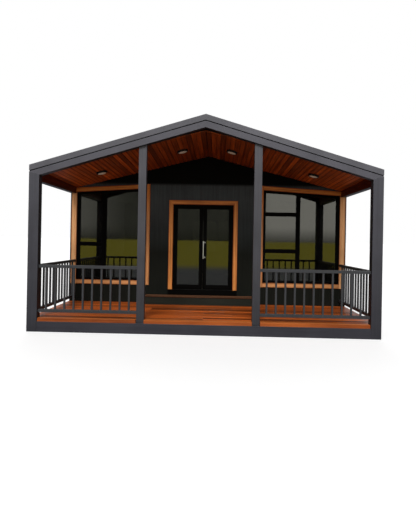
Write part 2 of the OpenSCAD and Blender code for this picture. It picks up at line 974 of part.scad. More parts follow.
// A round bar from the face of the leaf at the origin to the grip, cut flush with the face
module stand_off(reach) {
    difference() {
        rotate([90, 0, -atan(reach[0] / reach[1])])
            translate([0, 0, -handle_d])
                cylinder(h = norm(reach) + handle_d, d = 0.7 * handle_d);
        translate([-2 * handle_d, 0, -handle_d]) cube([4 * handle_d, 2 * handle_d, 2 * handle_d]);
    }
}

// ---------- step ----------

module step_tread() {
    color("sienna") block([door_x - step_w / 2, door_x + step_w / 2], tread_y, tread_z);
}

// A riser board in front of bearers that carry the tread
module step_riser() {
    x = [door_x - step_w / 2 + tread_nose, door_x + step_w / 2 - tread_nose];
    y = [tread_y[0] + tread_nose, tread_y[1]];
    z = [deck_z, tread_z[0]];
    bays = floor((x[1] - x[0]) / joist_pitch);
    color("darkslategray") {
        block(x, [y[0], y[0] + riser_t], z);
        for (i = [0 : bays]) {
            bearer = x[0] + i * (x[1] - x[0] - riser_t) / bays;
            block([bearer, bearer + riser_t], y, z);
        }
    }
}

// ---------- railings ----------

// A railing along +X with its first end at the origin, and its rails centred on Y = 0
module railing(span, start) {
    balusters = floor((span - start - baluster_s) / baluster_pitch);
    for (z = [rail_bottom_z, rail_top_z - rail_s])
        translate([0, -rail_s / 2, z]) cube([span, rail_s, rail_s]);
    for (i = [0 : balusters])
        translate([start + i * baluster_pitch - baluster_s / 2, -baluster_s / 2, rail_bottom_z + rail_s / 2])
            cube([baluster_s, baluster_s, rail_top_z - rail_bottom_z - rail_s]);
}

// A railing from a middle post's outer side to the corner post
module front_railing(post_x, start) {
    post_side = post_x + mid_post_w / 2;
    translate([post_side, middle(rail_y) - mid_y, 0]) railing(post_inner_x - post_side, start);
}

module side_railing() {
    translate([side_rail_x, porch_y[0] - mid_y, 0])
        rotate([0, 0, 90]) railing(trim_y[0] - porch_y[0], side_baluster_start);
}

module railing_front_left() {
    color("dimgray") mirror([1, 0, 0]) front_railing(left_post_x, left_baluster_start);
}

module railing_front_right() {
    color("dimgray") front_railing(right_post_x, right_baluster_start);
}

module railing_side_left() {
    color("dimgray") mirror([1, 0, 0]) side_railing();
}

module railing_side_right() {
    color("dimgray") side_railing();
}

base_cross_beams();
base_side_beams();
deck_joists();
porch_deck();
floor_joists();
house_floor();
corner_post_left();
corner_post_right();
mid_post_left();
mid_post_right();
front_rafter_left();
front_rafter_right();
front_fascia();
rear_fascia();
eave_beams();
eave_lining();
porch_ceiling_left();
porch_ceiling_right();
ceiling_lights();
light_diffusers();
roof_left();
roof_right();
ridge_cap();
porch_wall_left();
porch_wall_right();
porch_wall_gable();
side_wall_left();
side_wall_right();
rear_wall();
window_frame_left();
window_frame_right();
porch_window_glass();
window_trim_left();
window_trim_right();
cabin_window_frames();
cabin_window_glass();
cabin_window_trim();
door_frame();
door_trim();
door_threshold();
door_leaf_left();
door_leaf_right();
door_glass_left();
door_glass_right();
door_handle();
door_hinges();
step_tread();
step_riser();
railing_front_left();
railing_front_right();
railing_side_left();
railing_side_right();
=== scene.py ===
import json
import math
import random

import bmesh
import bpy
from mathutils import Matrix, Vector


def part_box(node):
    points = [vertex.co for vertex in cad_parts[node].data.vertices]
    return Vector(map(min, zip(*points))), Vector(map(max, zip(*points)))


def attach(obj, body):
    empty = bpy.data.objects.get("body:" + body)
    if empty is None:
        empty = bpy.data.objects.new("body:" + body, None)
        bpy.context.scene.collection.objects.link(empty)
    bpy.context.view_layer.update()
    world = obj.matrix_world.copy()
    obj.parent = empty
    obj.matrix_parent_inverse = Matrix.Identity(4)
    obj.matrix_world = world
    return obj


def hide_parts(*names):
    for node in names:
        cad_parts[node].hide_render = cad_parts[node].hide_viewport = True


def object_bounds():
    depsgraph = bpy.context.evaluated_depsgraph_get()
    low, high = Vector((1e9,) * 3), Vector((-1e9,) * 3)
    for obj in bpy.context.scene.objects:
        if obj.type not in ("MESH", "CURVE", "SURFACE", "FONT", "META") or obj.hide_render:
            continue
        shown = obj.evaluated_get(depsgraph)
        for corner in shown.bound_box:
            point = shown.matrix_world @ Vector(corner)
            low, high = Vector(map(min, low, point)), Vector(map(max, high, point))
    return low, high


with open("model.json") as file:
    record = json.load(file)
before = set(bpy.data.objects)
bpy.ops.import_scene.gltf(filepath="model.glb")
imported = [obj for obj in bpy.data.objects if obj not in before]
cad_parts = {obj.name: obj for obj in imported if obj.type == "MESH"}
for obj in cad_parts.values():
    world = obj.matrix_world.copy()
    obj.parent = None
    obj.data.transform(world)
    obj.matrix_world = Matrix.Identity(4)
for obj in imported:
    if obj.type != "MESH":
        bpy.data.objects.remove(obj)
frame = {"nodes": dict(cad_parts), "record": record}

# The looks of the tiny house. Metres, +Z up, the front faces -Y. Whatever stands in for a
# node of the frame takes its place from that node. The sizes here are those of boards, gaps
# and small fittings.

cad_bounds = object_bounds()
record = frame["record"]
BODIES = {node: body for body, nodes in record["behaviour"]["bodies"].items() for node in nodes}
HOUSE = "house"
UP = Vector((0, 0, 1))
TO_REAR = Vector((0, 1, 0))
WHITE = (1.0, 1.0, 1.0)

# ---------------------------------------------------------------- shader nodes

NOISE_RANGE = (0.3, 0.7)  # most of a noise's values lie in it
# Painted shade by facing: the part of a normal at which a face gets all of it, and none of it
TURNED = (-0.8, -0.4)  # part of a normal at which a face is wholly turned, and not at all


def shader(name):
    """A new material, its node tree and its surface shader."""
    material = bpy.data.materials.new(name)
    material.use_nodes = True
    tree = material.node_tree
    return material, tree, tree.nodes["Principled BSDF"]


def feed(tree, socket, value):
    """Feeds a socket from another socket or with a constant."""
    if isinstance(value, bpy.types.NodeSocket):
        tree.links.new(value, socket)
    else:
        socket.default_value = value


def put(tree, kind, inputs=None, **settings):
    """A new node of that kind, with its inputs fed and its settings made."""
    made = tree.nodes.new("ShaderNode" + kind)
    for key, value in settings.items():
        setattr(made, key, value)
    for key, value in (inputs or {}).items():
        feed(tree, made.inputs[key], value)
    return made


def calc(tree, operation, *values):
    return put(tree, "Math", dict(enumerate(values)), operation=operation).outputs[0]


def times(tree, one, other):
    return calc(tree, "MULTIPLY", one, other)


def between(tree, share, one, other):
    """A number that goes from one to the other as the share goes from 0 to 1."""
    return put(tree, "Mix", {0: share, 2: one, 3: other}).outputs[0]


def spread(tree, value, low, high, to_low=0.0, to_high=1.0):
    """A number that goes from to_low to to_high as the value goes from low to high."""
    inputs = {"Value": value, "From Min": low, "From Max": high, "To Min": to_low, "To Max": to_high}
    return put(tree, "MapRange", inputs).outputs["Result"]


def varied(tree, value, low, high):
    """A noise's value as a number from low to high."""
    return spread(tree, value, *NOISE_RANGE, low, high)


def split(tree, vector):
    return put(tree, "SeparateXYZ", {0: vector}).outputs


def stretch(tree, vector, scale):
    return put(tree, "VectorMath", {0: vector, 1: scale}, operation="MULTIPLY").outputs[0]


def noise(tree, vector, scale=1.0, detail=3.0, roughness=0.55):
    inputs = {"Vector": vector, "Scale": scale, "Detail": detail, "Roughness": roughness}
    return put(tree, "TexNoise", inputs).outputs["Fac"]


def rgba(colour):
    return (*colour, 1.0)


def mix(tree, share, one, other, mode="MIX"):
    """A colour that goes from one to the other as the share goes from 0 to 1."""
    inputs = {0: share, 6: one, 7: other}
    return put(tree, "Mix", inputs, data_type="RGBA", blend_type=mode).outputs[2]


def tinted(tree, colour, factor):
    """A colour times another."""
    return mix(tree, 1.0, colour, factor, "MULTIPLY")


def shaded(tree, colour, level):
    """A colour times a number."""
    inputs = {"Red": level, "Green": level, "Blue": level}
    return tinted(tree, colour, put(tree, "CombineColor", inputs).outputs[0])


def bump(tree, surface, height, distance, strength):
    made = put(tree, "Bump", {"Height": height, "Distance": distance, "Strength": strength})
    tree.links.new(made.outputs["Normal"], surface.inputs["Normal"])


def object_place(tree):
    return put(tree, "TexCoord").outputs["Object"]


def height_painted(tree, colour, heights, below, above):
    """Painted light and shade by height: a colour times one factor below the first height and another
    above the second.
    """
    share = spread(tree, split(tree, object_place(tree))["Z"], *heights)
    return tinted(tree, colour, mix(tree, share, rgba(below), rgba(above)))


def facing_shade(tree, level, under_shade, inner):
    """Painted shade by facing: a level times one factor on faces that look down, and another on those
    that look inwards.
    """
    coordinates = put(tree, "TexCoord").outputs
    normal = split(tree, coordinates["Normal"])
    level = times(tree, level, spread(tree, normal["Z"], *TURNED, under_shade, 1.0))
    side = calc(tree, "SIGN", split(tree, coordinates["Object"])["X"])
    inwards = times(tree, side, normal["X"])
    return times(tree, level, spread(tree, inwards, *TURNED, inner, 1.0))


# ---------------------------------------------------------------- camera, light and stage

CAMERA_DISTANCE = 8.62  # in front of the face of the porch frame
CAMERA_X = 0.2767
CAMERA_Z = 1.824
CAMERA_YAW = -0.0235  # in radians, like the pitch and the roll
CAMERA_PITCH = 0.0008
CAMERA_ROLL = 0.0182
CAMERA_LENS = 31.338  # millimetres
CAMERA_SHIFT = (0.0007, -0.0368)

# The world as light, and what the glass mirrors of it. Heights and places to the side are those
# of a direction of length one. Each side of the sky has two places and a level for each, and the
# two sides add up.
WORLD_LIGHT = 0.22
HORIZON_LEVEL = 0.18
SKY_LEVEL = 0.8
SKY_RISE = (0.0, 0.03)
LEFT_SKY = (-0.30, -0.20, 0.55, 0.10)
RIGHT_SKY = (0.04, 0.11, 0.0, 1.33)
EVEN_SKY = (0.15, 0.4)

STAGE_SIZE = 3000.0
FLOOR_TONE = (0.85, 0.85, 0.85)
FLOOR_GLOW = 0.38
FLOOR_BOUNCE = (0.42, 0.39, 0.35)
MIRRORED_NEAR = (0.24, 0.25, 0.29)
MIRRORED_FAR = (0.62, 0.56, 0.07)
WARM_FROM = (-24.0, -18.0)  # along Y: wholly the far tone, and wholly the near one


def add_camera():
    """A camera in front of the porch at eye height, turned and rolled a little."""
    data = bpy.data.cameras.new("camera")
    data.lens = CAMERA_LENS
    data.shift_x, data.shift_y = CAMERA_SHIFT
    data.clip_end = 2 * STAGE_SIZE
    camera = bpy.data.objects.new("camera", data)
    bpy.context.scene.collection.objects.link(camera)
    flat = Vector((math.sin(CAMERA_YAW), math.cos(CAMERA_YAW), 0))
    forward = flat * math.cos(CAMERA_PITCH) + UP * math.sin(CAMERA_PITCH)
    level = Vector((flat.y, -flat.x, 0))
    above = level.cross(forward)
    right = level * math.cos(CAMERA_ROLL) + above * math.sin(CAMERA_ROLL)
    up = right.cross(forward)
    place = Matrix((right, up, -forward)).transposed().to_4x4()
    place.translation = Vector((CAMERA_X, cad_bounds[0][1] - CAMERA_DISTANCE, CAMERA_Z))
    camera.matrix_world = place
    bpy.context.scene.camera = camera


def add_sun(name, strength, degrees, towards, mirrored=True):
    """A soft distant light; one that isn't mirrored leaves no bright patch in the glass."""
    data = bpy.data.lights.new(name, "SUN")
    data.energy = strength
    data.angle = math.radians(degrees)
    lamp = bpy.data.objects.new(name, data)
    lamp.rotation_euler = Vector(towards).to_track_quat("-Z", "Y").to_euler()
    bpy.context.scene.collection.objects.link(lamp)
    lamp.visible_glossy = mirrored


def set_world():
    """White where it is seen, and dimmer as light.

    In reflections it is dark at the horizon. Above that it is dim straight ahead and lighter to
    both sides, mostly to the right, and further up it is even all round."""
    world = bpy.data.worlds.new("studio")
    bpy.context.scene.world = world
    world.use_nodes = True
    tree = world.node_tree
    background = tree.nodes["Background"]
    background.inputs["Color"].default_value = rgba(WHITE)
    rays = put(tree, "LightPath").outputs
    direction = split(tree, put(tree, "TexCoord").outputs["Generated"])
    sky = spread(tree, direction["Z"], *SKY_RISE, HORIZON_LEVEL, SKY_LEVEL)
    left = spread(tree, direction["X"], *LEFT_SKY)
    right = spread(tree, direction["X"], *RIGHT_SKY)
    even = spread(tree, direction["Z"], *EVEN_SKY)
    sides = between(tree, even, calc(tree, "ADD", left, right), 1.0)
    level = between(tree, rays["Is Glossy Ray"], WORLD_LIGHT, times(tree, sky, sides))
    seen = calc(tree, "MAXIMUM", rays["Is Camera Ray"], rays["Is Transmission Ray"])
    feed(tree, background.inputs["Strength"], between(tree, seen, level, 1.0))


def add_floor():
    """A pale floor that keeps the shadow: its own glow lifts it to white away from the house.

    In reflections it is grey near the house, and warm from some way in front of it."""
    mesh = bpy.data.meshes.new("floor")
    half = STAGE_SIZE / 2
    corners = [(-half, -half, 0), (half, -half, 0), (half, half, 0), (-half, half, 0)]
    mesh.from_pydata(corners, [], [(0, 1, 2, 3)])
    floor = bpy.data.objects.new("floor", mesh)
    bpy.context.scene.collection.objects.link(floor)
    material, tree, surface = shader("floor_paint")
    rays = put(tree, "LightPath").outputs
    seen = calc(tree, "MAXIMUM", rays["Is Camera Ray"], rays["Is Transmission Ray"])
    far = spread(tree, split(tree, object_place(tree))["Y"], *WARM_FROM, 1.0, 0.0)
    mirrored = mix(tree, far, rgba(MIRRORED_NEAR), rgba(MIRRORED_FAR))
    unseen = mix(tree, rays["Is Glossy Ray"], rgba(FLOOR_BOUNCE), mirrored)
    feed(tree, surface.inputs["Base Color"], mix(tree, seen, unseen, rgba(FLOOR_TONE)))
    feed(tree, surface.inputs["Roughness"], 1.0)
    feed(tree, surface.inputs["Specular IOR Level"], 0.0)
    feed(tree, surface.inputs["Emission Color"], rgba(WHITE))
    feed(tree, surface.inputs["Emission Strength"], times(tree, seen, FLOOR_GLOW))
    mesh.materials.append(material)


# ---------------------------------------------------------------- materials

# Heights between which painted light and shade change
EAVES = 3.2
WALL_PAINTED_LIGHT = (1.5, 2.85)
GABLE_PAINTED_SHADE = (3.15, 3.22)
CEILING_PAINTED_LIGHT = (2.95, 3.75)
TRIM_PAINTED_SHADE = (2.3, 3.0)

# How often each figure of the wood repeats along a board, across it and from board to board
SWAY = (0.7, 5.0, 3.1)
BANDS = (0.5, 42.0, 5.7)
PORES = (7.0, 420.0, 9.1)
PATCHES = (0.9, 3.0, 2.3)
SWAY_REACH = 0.035


def wood(name, dark, light, tone=(0.75, 1.2), gloss=0.45, edge=(0.5, 0.4, 0.35), painted_lift=None):
    """Boards whose grain follows the corner attribute "grain": along, across and a number per board.

    tone is the range of the boards' own levels. edge is the colour factor at their edges, from
    the corner attribute "edge", and paints shade along the joints. lift paints light and shade by height,
    see lifted: heights and two colour factors."""
    material, tree, surface = shader(name)
    grain = put(tree, "Attribute", attribute_name="grain").outputs["Vector"]
    parts = split(tree, grain)
    sway = noise(tree, stretch(tree, grain, SWAY), detail=2.0)
    across = calc(tree, "MULTIPLY_ADD", sway, SWAY_REACH, parts["Y"])
    bent = put(tree, "CombineXYZ", {0: parts["X"], 1: across, 2: parts["Z"]}).outputs[0]
    bands = noise(tree, stretch(tree, bent, BANDS), detail=4.0, roughness=0.6)
    pores = noise(tree, stretch(tree, bent, PORES), detail=2.0, roughness=0.6)
    patches = noise(tree, stretch(tree, bent, PATCHES), detail=2.0)
    own = put(tree, "TexWhiteNoise", {"W": parts["Z"]}, noise_dimensions="1D").outputs["Value"]
    level = times(tree, spread(tree, own, 0.0, 1.0, *tone), varied(tree, patches, 0.8, 1.2))
    level = times(tree, level, spread(tree, pores, 0.35, 0.6, 0.78, 1.06))
    colour = mix(tree, varied(tree, bands, 0.0, 1.0), rgba(dark), rgba(light))
    colour = shaded(tree, colour, level)
    if painted_lift:
        colour = height_painted(tree, colour, *painted_lift)
    # Darker tone near each board's edges: painted shade of the joints between boards
    edge_shade = put(tree, "Attribute", attribute_name="edge").outputs["Fac"]
    edge_shade = times(tree, edge_shade, varied(tree, patches, 1.0, 0.75))
    colour = mix(tree, edge_shade, colour, tinted(tree, colour, rgba(edge)))
    feed(tree, surface.inputs["Base Color"], colour)
    feed(tree, surface.inputs["Roughness"], varied(tree, pores, gloss - 0.08, gloss + 0.12))
    feed(tree, surface.inputs["Specular IOR Level"], 0.2)
    height = calc(tree, "MULTIPLY_ADD", bands, 0.5, pores)
    bump(tree, surface, height, distance=0.0006, strength=0.5)
    return material


def paint(name, colour, gloss=0.45, specular=0.3, mottle=0.1, peel=260.0, painted_rise=None, streak=None,
          under_shade=1.0, inner=1.0):
    """Satin paint. The rise factors, at the ground and at the eaves, are painted shade low down and
    painted light high up.

    streak stretches faint run marks along a member. The under and inner factors are painted shade
    on faces that look down and on those that look towards the middle of the house."""
    material, tree, surface = shader(name)
    place = object_place(tree)
    clouds = noise(tree, place, 1.7, detail=4.0)
    specks = noise(tree, place, 60.0)
    level = times(tree, varied(tree, clouds, 1 - mottle, 1 + mottle), varied(tree, specks, 0.95, 1.05))
    # Painted shade towards the ground and painted light towards the eaves
    if painted_rise:
        level = times(tree, level, spread(tree, split(tree, place)["Z"], 0.0, EAVES, *painted_rise))
    if streak:
        runs = noise(tree, stretch(tree, place, streak), roughness=0.6)
        level = times(tree, level, varied(tree, runs, 0.88, 1.12))
    # Painted shade on faces that look down and on those that look inwards
    if under_shade < 1 or inner < 1:
        level = facing_shade(tree, level, under_shade, inner)
    feed(tree, surface.inputs["Base Color"], shaded(tree, rgba(colour), level))
    feed(tree, surface.inputs["Roughness"], varied(tree, clouds, gloss - 0.05, gloss + 0.07))
    feed(tree, surface.inputs["Specular IOR Level"], specular)
    bump(tree, surface, noise(tree, place, peel, detail=2.0), distance=0.0003, strength=0.25)
    return material


def cladding(name, colour, streak=(30.0, 30.0, 0.8), painted_fades=()):
    """Dark coated panels with faint streaks that run up the wall.

    Each fade paints light and shade by height, as lifted takes it: heights and two colour factors."""
    material, tree, surface = shader(name)
    place = object_place(tree)
    streaks = noise(tree, stretch(tree, place, streak), detail=4.0, roughness=0.6)
    clouds = noise(tree, place, 0.9)
    level = times(tree, varied(tree, streaks, 0.8, 1.2), varied(tree, clouds, 0.85, 1.15))
    shade = shaded(tree, rgba(colour), level)
    for painted_fade in painted_fades:
        shade = height_painted(tree, shade, *painted_fade)
    feed(tree, surface.inputs["Base Color"], shade)
    feed(tree, surface.inputs["Roughness"], varied(tree, streaks, 0.6, 0.8))
    feed(tree, surface.inputs["Specular IOR Level"], 0.06)
    bump(tree, surface, streaks, distance=0.0008, strength=0.4)
    return material


def glass(name, tint, shine, ior, specular):
    """Solar control glass: dark to look through, with a tinted reflection and a faint film of dust."""
    material, tree, surface = shader(name)
    place = object_place(tree)
    film = noise(tree, place, 2.2, detail=4.0)
    feed(tree, surface.inputs["Base Color"], rgba(tint))
    feed(tree, surface.inputs["Transmission Weight"], 1.0)
    feed(tree, surface.inputs["IOR"], ior)
    feed(tree, surface.inputs["Specular Tint"], rgba(shine))
    feed(tree, surface.inputs["Specular IOR Level"], specular)
    feed(tree, surface.inputs["Roughness"], spread(tree, film, 0.4, 0.75, 0.015, 0.05))
    bump(tree, surface, noise(tree, place, 1.3, detail=1.0), distance=0.002, strength=0.06)
    return material


def metal(name, colour, gloss, streak):
    """Brushed bare metal, with its scratches stretched by streak."""
    material, tree, surface = shader(name)
    scratches = noise(tree, stretch(tree, object_place(tree), streak), roughness=0.7)
    level = varied(tree, scratches, 0.9, 1.08)
    feed(tree, surface.inputs["Base Color"], shaded(tree, rgba(colour), level))
    feed(tree, surface.inputs["Metallic"], 1.0)
    feed(tree, surface.inputs["Roughness"], varied(tree, scratches, gloss - 0.06, gloss + 0.1))
    bump(tree, surface, scratches, distance=0.0002, strength=0.3)
    return material


def opal(name, colour):
    """The opal plastic of a lamp's cover, with a fine grain."""
    material, tree, surface = shader(name)
    place = object_place(tree)
    level = varied(tree, noise(tree, place, 30.0), 0.94, 1.04)
    feed(tree, surface.inputs["Base Color"], shaded(tree, rgba(colour), level))
    feed(tree, surface.inputs["Roughness"], varied(tree, noise(tree, place, 90.0), 0.3, 0.45))
    feed(tree, surface.inputs["Subsurface Weight"], 0.2)
    feed(tree, surface.inputs["Subsurface Radius"], (0.01, 0.01, 0.01))
    bump(tree, surface, noise(tree, place, 900.0, detail=1.0), distance=0.0002, strength=0.3)
    return material


POST_RUNS = (26.0, 26.0, 0.7)  # run marks up a post
BEAM_RUNS = (0.6, 0.6, 26.0)  # and along a beam
TRIM_EDGE = (0.50, 0.30, 0.20)

LOOKS = {
    # Posts: painted shade towards the ground and on the faces that look inwards, painted light near the
    # eaves
    "corner_post": paint("corner_post_paint", (0.057, 0.0565, 0.0685), painted_rise=(0.52, 1.1),
                         streak=POST_RUNS, inner=0.45),
    "mid_post": paint("mid_post_paint", (0.062, 0.061, 0.070), painted_rise=(0.52, 1.2),
                      streak=POST_RUNS, inner=0.7),
    # Base beams: the posts' paint made darker, as painted shade near the ground
    "beam": paint("beam_shaded_paint", (0.0346, 0.0338, 0.0425), streak=BEAM_RUNS),
    # Eave beams, fascias, rafters and rails: painted shade on the faces that look down
    "eave": paint("eave_paint", (0.085, 0.078, 0.074), under_shade=0.3),
    "fascia": paint("fascia_paint", (0.100, 0.099, 0.114), gloss=0.4, mottle=0.16, under_shade=0.2),
    "rafter": paint("rafter_paint", (0.084, 0.082, 0.098), mottle=0.14, under_shade=0.2),
    "rail": paint("rail_paint", (0.041, 0.0425, 0.046), gloss=0.4, under_shade=0.5),
    "roof": paint("roof_paint", (0.060, 0.060, 0.065), gloss=0.38, mottle=0.14),
    "wall": cladding("wall_coating", (0.030, 0.0308, 0.0292)),
    # Porch wall: a darker copy of the wall coating, as painted shade under the porch roof; its fades
    # paint light between 1.5 and 2.85 m up and shade again in the gable
    "porch_wall": cladding("porch_wall_shaded_coating", (0.0125, 0.0138, 0.0128), painted_fades=[
        (WALL_PAINTED_LIGHT, (0.67, 0.68, 0.56), (4.4, 4.6, 5.1)),
        (GABLE_PAINTED_SHADE, WHITE, (0.05, 0.045, 0.033)),
    ]),
    "strip": paint("strip_coating", (0.048, 0.049, 0.048), gloss=0.5, specular=0.1),
    "bolt": paint("bolt_coating", (0.070, 0.070, 0.072), gloss=0.35),
    "aluminium": paint("black_coating", (0.0018, 0.0016, 0.0014), specular=0.03, peel=400.0),
    "gasket": paint("gasket_rubber", (0.003, 0.003, 0.003), gloss=0.6, specular=0.05, peel=500.0),
    "lamp": paint("lamp_coating", (0.006, 0.005, 0.005), gloss=0.5),
    "riser": cladding("riser_stain", (0.0198, 0.0207, 0.0156), streak=(1.5, 40.0, 60.0)),
    "glass": glass("solar_glass", tint=(0.05, 0.053, 0.038), shine=(1.0, 0.98, 0.87), ior=1.9,
                   specular=0.65),
    "handle": metal("handle_metal", (0.90, 0.89, 0.86), gloss=0.28, streak=(300.0, 300.0, 8.0)),
    "screw": metal("screw_metal", (0.30, 0.28, 0.26), gloss=0.45, streak=(90.0, 90.0, 90.0)),
    "diffuser": opal("lamp_opal", (0.80, 0.72, 0.60)),
    "deck": wood("deck_wood", (0.27, 0.032, 0.004), (0.76, 0.185, 0.028), tone=(0.34, 1.66),
                 gloss=0.42, edge=(0.18, 0.15, 0.15)),
    # Front deck boards: a paler, evener copy of the deck wood, as painted light and sheen along the
    # deck's front edge
    "lit_front_deck": wood("lit_front_deck_wood", (0.40, 0.091, 0.016), (0.74, 0.214, 0.043), tone=(0.9, 1.1)),
    # Ceiling: painted light near the eaves and painted shade towards the ridge
    "ceiling": wood("ceiling_wood", (0.165, 0.0205, 0.0020), (0.64, 0.124, 0.0105),
                    tone=(0.55, 1.45), edge=(0.3, 0.25, 0.25),
                    painted_lift=(CEILING_PAINTED_LIGHT, (1.45, 1.5, 1.45), (0.63, 0.6, 0.63))),
    # Eave lining: a darker copy of the ceiling wood, as painted shade on the beams' inner faces
    "lining": wood("shaded_lining_wood", (0.07, 0.008, 0.003), (0.14, 0.020, 0.006)),
    # Window trims: painted shade, warmer in tone, above 2.3 m under the porch roof
    "trim": wood("trim_wood", (0.42, 0.160, 0.050), (0.79, 0.385, 0.150), tone=(0.9, 1.1),
                 edge=TRIM_EDGE, painted_lift=(TRIM_PAINTED_SHADE, WHITE, (1.18, 0.88, 0.46))),
    # Door trim: painted shade above 2.3 m under the porch roof
    "door_trim": wood("door_trim_wood", (0.47, 0.148, 0.031), (0.89, 0.365, 0.092),
                      tone=(0.98, 1.02), edge=TRIM_EDGE,
                      painted_lift=(TRIM_PAINTED_SHADE, WHITE, (0.76, 0.62, 0.46))),
    # Corner boards: a lighter copy of the trim wood, as painted light on the boards at the house's
    # corners
    "sunlit_trim": wood("sunlit_trim_wood", (0.76, 0.310, 0.112), (1.0, 0.600, 0.280),
                      tone=(0.95, 1.05), edge=TRIM_EDGE),
    "step": wood("step_wood", (0.110, 0.048, 0.024), (0.198, 0.092, 0.042), gloss=0.5),
    "laminate": wood("laminate_wood", (0.34, 0.19, 0.09), (0.52, 0.33, 0.18), tone=(0.9, 1.1)),
    "joist": wood("joist_wood", (0.34, 0.20, 0.10), (0.50, 0.33, 0.18)),
}

# ---------------------------------------------------------------- nodes of the frame

WELD = 1e-5
FLAT = math.radians(0.5)
SHARP = math.radians(25)
POST_EASE = 0.004
RAIL_EASE = 0.003
FRAME_EASE = 0.002
FASCIA_EASE = 0.0015


def add_piece(name, work, look, body, replaces):
    """Makes a piece of a mesh in the making, hangs it on its body and hides the nodes it stands for."""
    mesh = bpy.data.meshes.new(name)
    work.to_mesh(mesh)
    work.free()
    mesh.materials.append(LOOKS[look])
    piece = bpy.data.objects.new(name, mesh)
    bpy.context.scene.collection.objects.link(piece)
    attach(piece, body)
    if replaces:
        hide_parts(*replaces)


def dress(look, *nodes):
    """Gives nodes of the frame a material of the scene."""
    for name in nodes:
        data = frame["nodes"][name].data
        data.materials.clear()
        data.materials.append(LOOKS[look])


def plain_copy(name):
    """A node's mesh with its flat faces whole again, and each solid closed."""
    work = bmesh.new()
    work.from_mesh(frame["nodes"][name].data)
    bmesh.ops.remove_doubles(work, verts=work.verts, dist=WELD)
    bmesh.ops.dissolve_limit(work, angle_limit=FLAT, verts=work.verts, edges=work.edges)
    return work


def soften(look, width, *nodes):
    """Stands copies with eased edges for nodes of the frame."""
    for name in nodes:
        work = plain_copy(name)
        sharp = [edge for edge in work.edges if edge.is_manifold and edge.calc_face_angle() > SHARP]
        bmesh.ops.bevel(work, geom=sharp, offset=width, segments=2, profile=0.5, affect="EDGES")
        add_piece(name + "_eased", work, look, BODIES[name], [name])


def islands(name):
    """The lowest and highest corners of each solid of a node."""
    work = plain_copy(name)
    rest = set(work.verts)
    boxes = []
    while rest:
        solid = set()
        border = {rest.pop()}
        while border:
            solid |= border
            border = {edge.other_vert(vert) for vert in border for edge in vert.link_edges} - solid
        rest -= solid
        corners = [[pick(vert.co[i] for vert in solid) for i in range(3)] for pick in (min, max)]
        boxes.append(tuple(Vector(corner) for corner in corners))
    work.free()
    return sorted(boxes, key=lambda box: tuple(box[0]))


def dress_frame():
    """Stands eased copies for members and frames, and dresses the nodes that stay."""
    soften("corner_post", POST_EASE, "corner_post_left", "corner_post_right")
    soften("mid_post", POST_EASE, "mid_post_left", "mid_post_right")
    soften("beam", POST_EASE, "base_cross_beams", "base_side_beams")
    soften("eave", POST_EASE, "eave_beams")
    soften("fascia", FASCIA_EASE, "front_fascia", "rear_fascia")
    soften("rafter", FASCIA_EASE, "front_rafter_left", "front_rafter_right")
    soften("rail", RAIL_EASE, "railing_front_left", "railing_front_right")
    soften("rail", RAIL_EASE, "railing_side_left", "railing_side_right")
    soften("roof", FRAME_EASE, "roof_left", "roof_right")
    soften("aluminium", FRAME_EASE, "window_frame_left", "window_frame_right", "cabin_window_frames")
    soften("aluminium", FRAME_EASE, "door_frame", "door_threshold")
    dress("aluminium", "door_leaf_left", "door_leaf_right", "door_hinges")
    dress("roof", "ridge_cap")
    dress("porch_wall", "porch_wall_left", "porch_wall_right", "porch_wall_gable")
    dress("wall", "side_wall_left", "side_wall_right", "rear_wall")
    dress("glass", "porch_window_glass", "cabin_window_glass", "door_glass_left", "door_glass_right")
    dress("handle", "door_handle")
    dress("riser", "step_riser")
    dress("joist", "deck_joists", "floor_joists")


# ---------------------------------------------------------------- making pieces

# The darker tone of the edges is painted shade of the joints
EDGE_REACH = 0.022  # how far in from a board's edges their darker tone reaches


